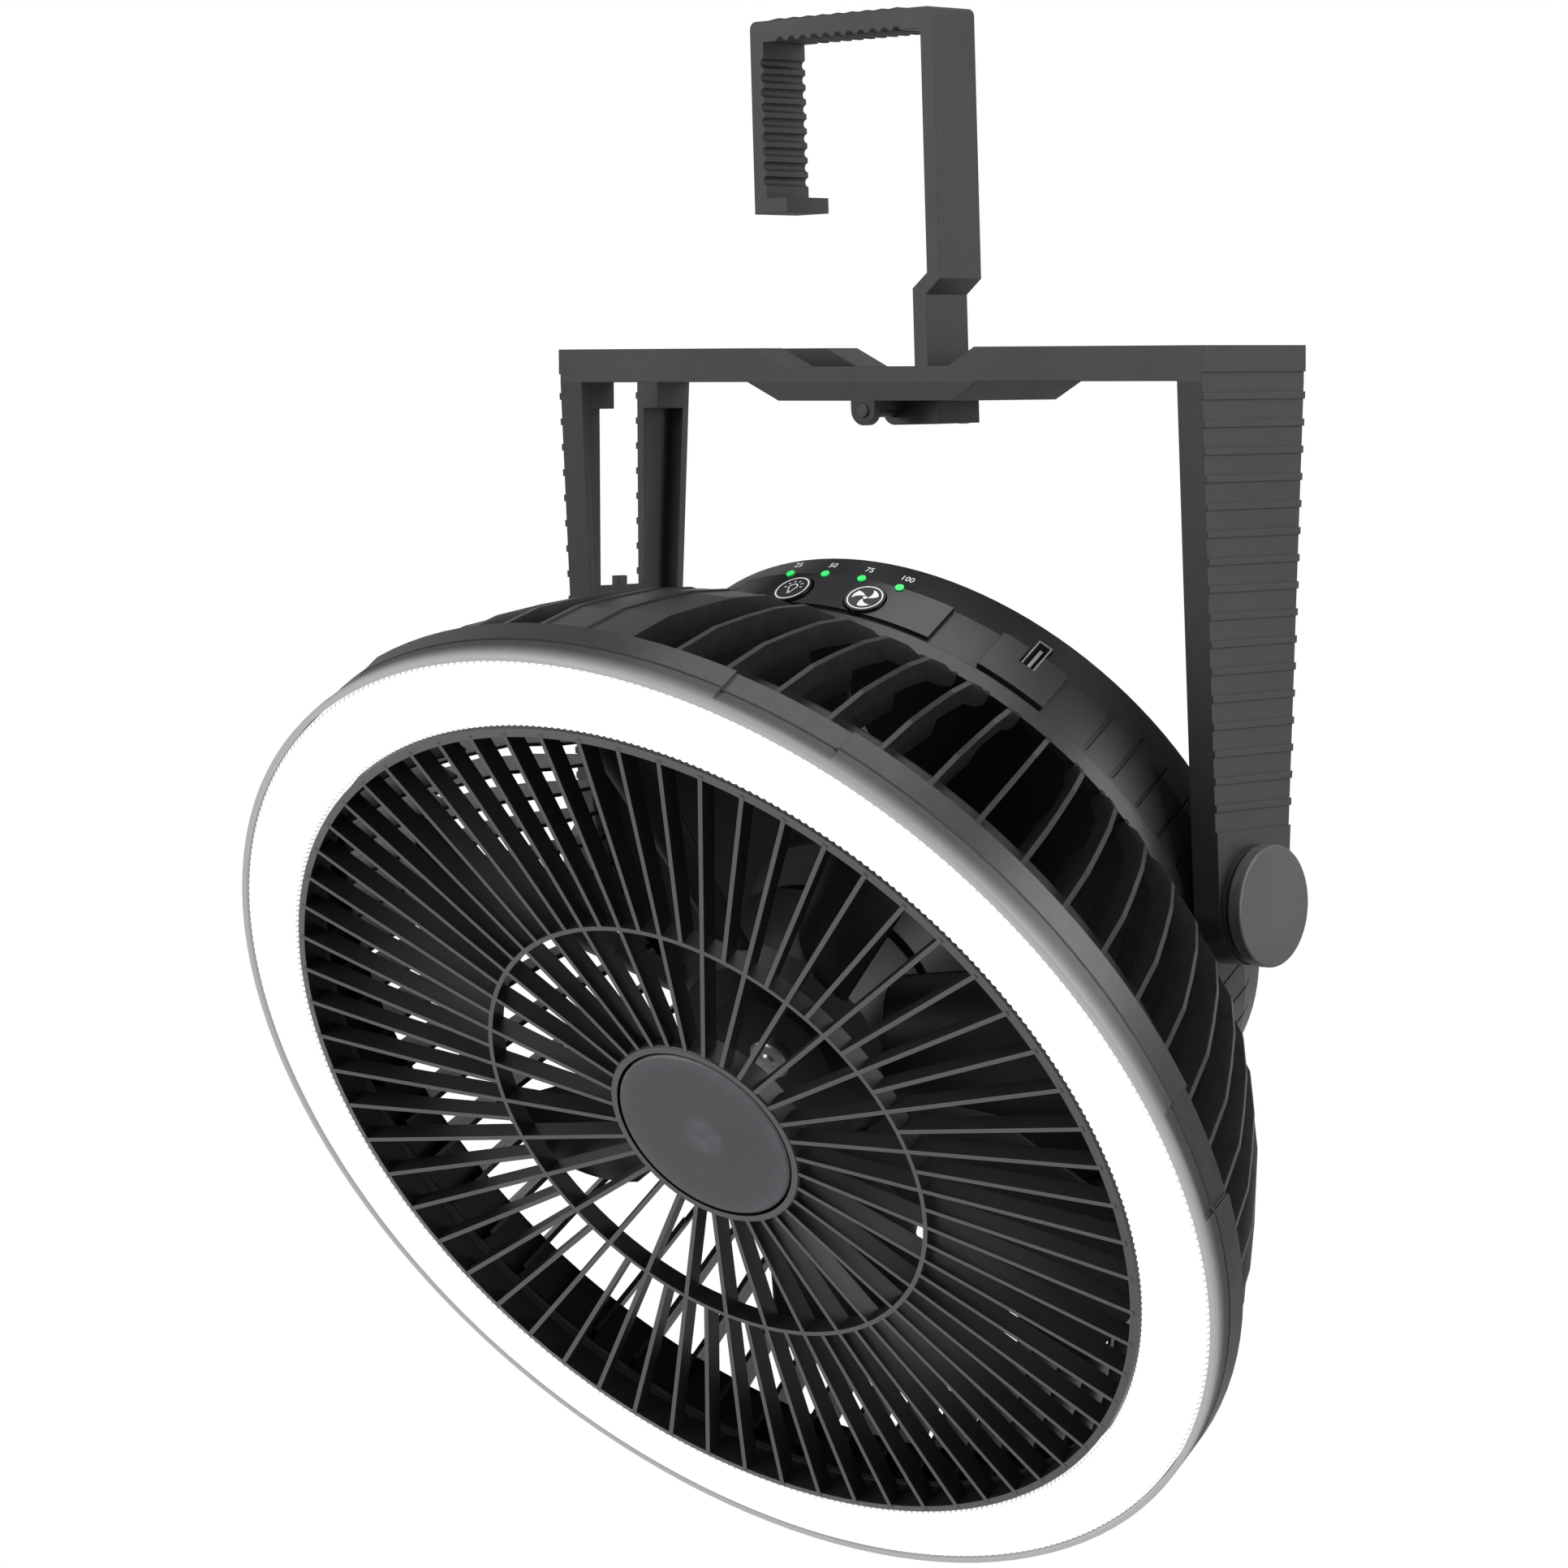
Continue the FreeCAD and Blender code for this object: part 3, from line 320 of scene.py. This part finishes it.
# LED lens: a crowned ring with fine prism teeth on its inner and outer edges. Its section runs
# from the inner foot over the crown to the outer foot, as radius and height in millimetres.
lens = {
    "section": [(110.0, 87.0), (110.0, 92.9), (110.25, 93.45), (111.4, 93.95), (114.0, 94.5),
                (116.5, 94.55), (119.0, 94.35), (121.0, 93.9), (122.6, 93.25), (124.1, 92.2),
                (125.3, 91.2), (125.55, 90.8), (125.6, 90.2), (125.6, 87.0)],
    "points": 40, "inner": 110.0, "middle": 118, "outer": 125.6,
    "teeth": 400, "samples": 4, "tooth": 0.3, "fade": 0.9, "drop": 0.6,
}
# The ring is dimmer round one angle, outside one radius, with ripples across the dim part.
dimmed = {"angle": 195, "power": 1.5, "from": 117.5, "over": 5, "flat": 0.28,
          "ripple": 0.16, "ripples": 9, "span": 15.6}
lit = {"base": 0.5, "full": 1.2, "least": 0.1, "dimming": 1.6, "toothShare": 0.6,
       "fine": 700.0, "fineDetail": 1.0, "fineNoise": (0.35, 0.65), "fineShare": 0.05,
       "gloss": 90.0, "rough": (0.3, 0.45)}


def lensMaterial():
    """Lit diffuser: white, darker in the prism teeth and in the dim part's ripples."""
    k = Nodes("lensLit")
    tooth = k.add("ShaderNodeAttribute", attribute_name="tooth")
    shade = k.add("ShaderNodeAttribute", attribute_name="shade")
    fine = k.remap(k.noise(lit["fine"], lit["fineDetail"]), *lit["fineNoise"],
                   0.0, lit["fineShare"])
    dim = k.math("ADD", k.math("MULTIPLY", tooth.outputs["Fac"], lit["toothShare"]),
                 k.math("ADD", shade.outputs["Fac"], fine))
    glow = k.math("SUBTRACT", lit["full"], k.math("MULTIPLY", dim, lit["dimming"]))
    k.shader.inputs["Base Color"].default_value = (lit["base"], lit["base"], lit["base"], 1)
    k.shader.inputs["Emission Color"].default_value = (1, 1, 1, 1)
    k.link(k.math("MAXIMUM", glow, lit["least"]), k.shader.inputs["Emission Strength"])
    k.link(k.remap(k.noise(lit["gloss"]), *NOISE, *lit["rough"]), k.shader.inputs["Roughness"])
    return k.material


def makeLens():
    radius, height = resample(lens["section"], lens["points"])
    count = lens["teeth"] * lens["samples"]
    angle = np.linspace(0, 2 * math.pi, count, endpoint=False)[:, None]
    # The teeth are a rectified wave that fades with the distance d from either edge:
    # depth = tooth * e^-(d / fade)^2 * (1 - |sin(teeth * angle / 2)|).
    edge = np.minimum(radius - lens["inner"], lens["outer"] - radius)
    band = np.exp(-((edge / lens["fade"]) ** 2))[None, :]
    wave = np.abs(np.sin(lens["teeth"] / 2 * angle))
    depth = lens["tooth"] * band * (1 - wave)
    r = radius[None, :] + np.where(radius < lens["middle"], depth, -depth)
    h = height[None, :] - lens["drop"] * depth
    points = headPoint(r * np.cos(angle), r * np.sin(angle), h).reshape(-1, 3)
    faces = gridFaces(count, len(radius), closed=True)
    piece = buildMesh("ledLens", points, faces, lensMaterial())
    toothValue = (band * (1 - wave) * np.ones_like(h)).ravel()
    # shade = max(0, cos(angle - dim angle))^power * outer part * (flat + ripple * rings).
    low = np.clip(np.cos(angle - math.radians(dimmed["angle"])), 0, 1) ** dimmed["power"]
    phase = 2 * math.pi * dimmed["ripples"] * (radius - lens["inner"]) / dimmed["span"]
    rings = 0.5 + 0.5 * np.cos(phase)[None, :]
    outerPart = np.clip((radius - dimmed["from"]) / dimmed["over"], 0, 1)[None, :]
    shadeValue = (low * outerPart * (dimmed["flat"] + dimmed["ripple"] * rings)).ravel()
    for name, values in (("tooth", toothValue), ("shade", shadeValue)):
        attribute = piece.data.attributes.new(name, "FLOAT", "POINT")
        attribute.data.foreach_set("value", values.astype(np.float32))
    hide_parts("led_lens")
    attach(piece, "head")


makeLens()
print("lens made")


# Parting line round the bezel: a narrow dark strip that follows the six shallow recesses.
bezel = {"radius": 127.3, "split": 85.5, "half": 0.26, "proud": 0.03, "step": 0.5,
         "recess": 0.8, "recessHalf": 6.5, "recessPitch": 60}


def makeSeam():
    angle = np.radians(np.arange(0, 360, bezel["step"]))
    halfPitch = bezel["recessPitch"] / 2
    off = np.abs((np.degrees(angle) + halfPitch) % bezel["recessPitch"] - halfPitch)
    r = bezel["radius"] + bezel["proud"] - bezel["recess"] * (off < bezel["recessHalf"])
    rows = []
    for side in (-1, 1):
        h = bezel["split"] + side * bezel["half"]
        rows.append(headPoint(r * np.cos(angle), r * np.sin(angle), h))
    points = np.stack(rows, axis=1).reshape(-1, 3)
    piece = buildMesh("bezelSeam", points, gridFaces(len(angle), 2, closed=True), seamDark)
    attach(piece, "head")


makeSeam()


# Front duct: the smooth wall behind the fins, from the bezel back to where the open slots begin.
duct = {"section": [(107.9, 86.6), (111.5, 82.0), (117.6, 79.0), (114.9, 71.0), (113.9, 67.5)],
        "points": 25, "wall": 1.2, "step": 1.0}


def makeDuct():
    radius, height = resample(duct["section"], duct["points"])
    # The section runs down the inside and back up the outside, a wall's thickness further out.
    radius = np.concatenate([radius, radius[::-1] + duct["wall"], radius[:1]])
    height = np.concatenate([height, height[::-1], height[:1]])
    angle = np.radians(np.arange(0, 360, duct["step"]))[:, None]
    points = headPoint(radius * np.cos(angle), radius * np.sin(angle), height).reshape(-1, 3)
    faces = gridFaces(len(angle), len(radius), closed=True)
    piece = buildMesh("frontDuct", points, faces, innerPlastic)
    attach(piece, "head")


makeDuct()

# The fins' inner parts. Each lies between two insets from the flare's outer line, and the deeper
# one leaves 0.8 mm to the impeller's tips at its rear end.
fin = {"count": 62, "first": 4.4, "thick": 1.16, "outer": 6.5, "inner": 12.5,
       "line": [(112.3, 46.0), (115.5, 52.0), (120.5, 63.0), (125.0, 78.5)]}


def makeFinRoots():
    points, faces = [], []
    line = np.array(fin["line"])
    n = len(line)
    for number in range(fin["count"]):
        a = math.radians(fin["first"] + number * 360 / fin["count"])
        for side in (-0.5, 0.5):
            for inset in (fin["outer"], fin["inner"]):
                r, w = line[:, 0] - inset, side * fin["thick"]
                x = r * math.cos(a) - w * math.sin(a)
                y = r * math.sin(a) + w * math.cos(a)
                points.append(headPoint(x, y, line[:, 1]))
        # Corners are numbered side, inset, place along the line. The four rows of a fin give
        # two flanks and the inner edge, and then both ends; the outer edge is in the CAD fin.
        rows = [4 * n * number + n * row for row in range(4)]
        for j in range(n - 1):
            faces += [(rows[0] + j, rows[0] + j + 1, rows[1] + j + 1, rows[1] + j),
                      (rows[2] + j, rows[3] + j, rows[3] + j + 1, rows[2] + j + 1),
                      (rows[1] + j, rows[1] + j + 1, rows[3] + j + 1, rows[3] + j)]
        for j in (0, n - 1):
            faces.append((rows[0] + j, rows[1] + j, rows[3] + j, rows[2] + j))
    piece = buildMesh("finRoots", np.concatenate(points), faces, finPlastic, smooth=False)
    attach(piece, "head")


makeFinRoots()


def drumFrame(angle, radius, h):
    """A frame that touches the drum: x along falling angle, y to the rear, z outward."""
    a = math.radians(angle)
    out = math.cos(a) * headU + math.sin(a) * headV
    along = math.sin(a) * headU - math.cos(a) * headV
    spot = headOrigin + MM * (radius * out + h * headN)
    rows = [(along[i], -headN[i], out[i], spot[i]) for i in range(3)]
    return Matrix((*rows, (0, 0, 0, 1)))


class Flat:
    """Collects flat polygons in millimetres and turns them into one printed mark."""

    def __init__(self):
        self.points, self.faces = [], []

    def polygon(self, outline):
        start = len(self.points)
        self.points += [(x, y, 0.0) for x, y in outline]
        self.faces.append(tuple(range(start, start + len(outline))))

    def arc(self, cx, cy, inner, outer, low=0.0, high=360.0, steps=64):
        start = len(self.points)
        for a in np.radians(np.linspace(low, high, steps + 1)):
            c, s = math.cos(a), math.sin(a)
            self.points += [(cx + r * c, cy + r * s, 0.0) for r in (inner, outer)]
        firsts = range(start, start + 2 * steps, 2)
        self.faces += [(first, first + 1, first + 3, first + 2) for first in firsts]

    def place(self, name, where, body):
        spots = [where @ (Vector(p) * MM) for p in self.points]
        piece = buildMesh(name, spots, self.faces, printWhite, smooth=False)
        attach(piece, body)


# Both icons are generic: a lamp and a three-bladed fan, each in a thin ring.
button = {"face": 83.53, "h": 1.7, "light": 90.85, "fan": 77.15, "ring": 4.15, "line": 0.32}
lamp = {"up": 0.45, "inner": 0.95, "outer": 1.2, "low": -50, "high": 230, "steps": 40,
        "neck": (0.78, -0.45), "foot": (0.42, -1.25), "neckHalf": 0.13,
        "bars": (-1.5, -1.95), "barHalf": 0.5, "barTall": 0.22,
        "rayStep": 36, "rayIn": 1.75, "rayOut": 2.5, "rayHalf": 0.11}
rotor = {"blades": 3, "hub": 0.5, "hubSteps": 24, "points": 12, "root": 0.7, "long": 2.4,
         "tip": 3.1, "lead": 25, "rootWide": 18, "trail": 62, "bend": 0.7}


def polar(r, a):
    return r * math.cos(a), r * math.sin(a)


def makeLightIcon():
    icon = Flat()
    icon.arc(0, 0, button["ring"] - button["line"], button["ring"])
    icon.arc(0, lamp["up"], lamp["inner"], lamp["outer"], lamp["low"], lamp["high"],
             lamp["steps"])
    (neckX, neckY), (footX, footY), half = lamp["neck"], lamp["foot"], lamp["neckHalf"]
    for side in (-1, 1):
        outline = [(side * neckX - half, neckY), (side * neckX + half, neckY),
                   (side * footX + half, footY), (side * footX - half, footY)]
        icon.polygon(outline[::side])
    half, tall = lamp["barHalf"], lamp["barTall"]
    for y in lamp["bars"]:
        icon.polygon([(-half, y), (half, y), (half, y + tall), (-half, y + tall)])
    near, far, half = lamp["rayIn"], lamp["rayOut"], lamp["rayHalf"]
    for degrees in range(0, 181, lamp["rayStep"]):
        c, s = math.cos(math.radians(degrees)), math.sin(math.radians(degrees))
        corners = ((near, half), (near, -half), (far, -half), (far, half))
        icon.polygon([(r * c - w * s, lamp["up"] + r * s + w * c) for r, w in corners])
    icon.place("lightIcon", drumFrame(button["light"], button["face"], button["h"]),
               "light_button")


def makeFanIcon():
    icon = Flat()
    icon.arc(0, 0, button["ring"] - button["line"], button["ring"])
    icon.arc(0, 0, 0.0, rotor["hub"], steps=rotor["hubSteps"])
    # Each blade is 18 degrees wide at its root and 55 at its tip, with a swept leading edge.
    t = np.linspace(0, 1, rotor["points"])
    r = rotor["root"] + rotor["long"] * t
    for number in range(rotor["blades"]):
        turn = 360 // rotor["blades"] * number
        lead = np.radians(turn + rotor["lead"] * t)
        trail = np.radians(turn + rotor["rootWide"] + rotor["trail"] * t ** rotor["bend"])
        tip = np.linspace(lead[-1], trail[-1], rotor["points"])[1:-1]
        outline = [polar(ri, a) for ri, a in zip(r, lead)]
        outline += [polar(rotor["tip"], a) for a in tip]
        outline += [polar(ri, a) for ri, a in zip(r[::-1], trail[::-1])]
        icon.polygon(outline)
    icon.place("fanIcon", drumFrame(button["fan"], button["face"], button["h"]), "fan_button")


makeLightIcon()
makeFanIcon()

charge = {"texts": ("25", "50", "75", "100"), "size": 2.3, "thick": 0.01,
          "first": 94.35, "step": 6.9, "radius": 83.04, "h": -7.6}


def makeNumbers():
    """Plain charge percentages behind the four lights."""
    for number, text in enumerate(charge["texts"]):
        name = f"chargeNumber{number + 1}"
        curve = bpy.data.curves.new(name, "FONT")
        curve.body = text
        curve.size = charge["size"] * MM
        curve.align_x = "CENTER"
        curve.extrude = charge["thick"] * MM
        label = addToScene(name, curve)
        mesh = bpy.data.meshes.new_from_object(label)
        bpy.data.objects.remove(label)
        angle = charge["first"] - charge["step"] * number
        mesh.transform(drumFrame(angle, charge["radius"], charge["h"]))
        mesh.materials.clear()
        mesh.materials.append(printWhite)
        piece = addToScene(name, mesh)
        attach(piece, "head")


makeNumbers()
print("marks made")


# Low stepped ribs across the top of the hook's top bar, in the hook's own leaned frame.
hook = {"pin": (15.351, 0.0, -85.760), "lean": 1.8, "top": 91.1, "width": 15.0}
rib = {"count": 9, "pitch": 4.3, "start": -34.0, "tall": 0.42, "run": 3.6, "sink": 0.1,
       "toe": 0.5, "toeTall": 0.10, "crest": 0.85, "round": 0.06, "fall": 0.15}


def makeHookRibs():
    lean = Matrix.Rotation(math.radians(-hook["lean"]), 4, "Y")
    base = Matrix.Translation(Vector(hook["pin"]) * MM) @ lean
    points, faces = [], []
    for number in range(rib["count"]):
        x = rib["start"] + number * rib["pitch"]
        start = len(points)
        # A wedge: it rises over its run and drops in a blunt step.
        section = [(x, -rib["sink"]), (x + rib["toe"], rib["toeTall"]),
                   (x + rib["run"] * rib["crest"], rib["tall"]),
                   (x + rib["run"], rib["tall"] - rib["round"]),
                   (x + rib["run"] + rib["fall"], -rib["sink"])]
        for y in (-hook["width"] / 2, hook["width"] / 2):
            points += [base @ (Vector((sx, y, hook["top"] + sz)) * MM) for sx, sz in section]
        n = len(section)
        for j in range(n):
            after = (j + 1) % n
            faces.append((start + j, start + after, start + n + after, start + n + j))
        faces.append(tuple(range(start, start + n))[::-1])
        faces.append(tuple(range(start + n, start + 2 * n)))
    piece = buildMesh("hookTopRibs", points, faces, hookPlastic, smooth=False)
    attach(piece, "hook")


makeHookRibs()
print("hook ribs made")


# Stage: one pale dome with a flat floor. It is white to the camera and lights the object softly.
stage = {"below": 0.002, "radius": 7.0, "turnStep": 7.5, "rises": 13, "floorShare": 1.1,
         "light": (0.96, 0.98, 1.0, 1), "strength": 0.42, "seen": 1.0}


def stageMaterial():
    k = Nodes("paleStage")
    path = k.add("ShaderNodeLightPath")
    soft = k.add("ShaderNodeEmission")
    soft.inputs["Color"].default_value = stage["light"]
    soft.inputs["Strength"].default_value = stage["strength"]
    seen = k.add("ShaderNodeEmission")
    seen.inputs["Strength"].default_value = stage["seen"]
    mix = k.add("ShaderNodeMixShader")
    k.link(path.outputs["Is Camera Ray"], mix.inputs[0])
    k.link(soft.outputs[0], mix.inputs[1])
    k.link(seen.outputs[0], mix.inputs[2])
    k.link(mix.outputs[0], k.out.inputs["Surface"])
    return k.material


def makeStage():
    floorZ = cadBox[0][2] - stage["below"]
    radius = stage["radius"]
    turns = np.radians(np.arange(0, 360, stage["turnStep"]))[:, None]
    rise = np.radians(np.linspace(0, 90, stage["rises"]))[None, :]
    x = radius * np.cos(turns) * np.cos(rise)
    y = radius * np.sin(turns) * np.cos(rise)
    z = floorZ + radius * np.sin(rise) + 0 * turns
    faces = gridFaces(len(turns), stage["rises"], closed=True)
    dome = buildMesh("backdrop", np.stack([x, y, z], -1).reshape(-1, 3), faces, stageMaterial())
    half = radius * stage["floorShare"]
    corners = [(-half, -half, floorZ), (half, -half, floorZ),
               (half, half, floorZ), (-half, half, floorZ)]
    floor = buildMesh("floor", corners, [(0, 1, 2, 3)], stageMaterial(), smooth=False)


makeStage()


def areaLight(name, place, aim, energy, width, height):
    data = bpy.data.lights.new(name, "AREA")
    data.shape = "RECTANGLE"
    data.size, data.size_y = width, height
    data.energy = energy
    light = addToScene(name, data)
    light.location = place
    light.rotation_euler = (Vector(aim) - Vector(place)).to_track_quat("-Z", "Y").to_euler()
    light.visible_camera = False


middle = (0.0, 0.0, -0.2)
areaLight("rightSide", (1.6, 0.3, 0.3), middle, energy=26, width=1.2, height=1.4)
areaLight("leftFront", (-0.9, -1.7, 0.5), middle, energy=18, width=1.4, height=1.2)
areaLight("overhead", (0.3, 0.2, 1.7), middle, energy=16, width=1.6, height=1.6)

# Camera: fitted to the photograph's circles and edges.
camera = {"place": (0.82830, -1.06339, -0.07546), "azimuth": 38.90, "elevation": 4.26,
          "roll": -0.26, "lens": 133.28, "shift": (0.01244, 0.00888)}


def makeCamera():
    az, el, roll = (math.radians(camera[key]) for key in ("azimuth", "elevation", "roll"))
    back = Vector((math.sin(az) * math.cos(el), -math.cos(az) * math.cos(el), math.sin(el)))
    right = Vector((math.cos(az), math.sin(az), 0))
    up = back.cross(right)
    rightRolled = right * math.cos(roll) + up * math.sin(roll)
    upRolled = up * math.cos(roll) - right * math.sin(roll)
    data = bpy.data.cameras.new("camera")
    data.sensor_width = 36.0
    data.lens = camera["lens"]
    data.shift_x, data.shift_y = camera["shift"]
    data.clip_end = 60.0
    data.dof.use_dof = False
    view = addToScene("camera", data)
    place = Vector(camera["place"])
    rows = [(rightRolled[i], upRolled[i], back[i], place[i]) for i in range(3)]
    view.matrix_world = Matrix((*rows, (0, 0, 0, 1)))
    bpy.context.scene.camera = view


makeCamera()
world = bpy.data.worlds.new("world")
world.use_nodes = True
background = world.node_tree.nodes["Background"]
background.inputs["Color"].default_value = (0.9, 0.9, 0.9, 1)
background.inputs["Strength"].default_value = 0.3
bpy.context.scene.world = world
bpy.context.scene.view_settings.view_transform = "Standard"

print("scene ready")
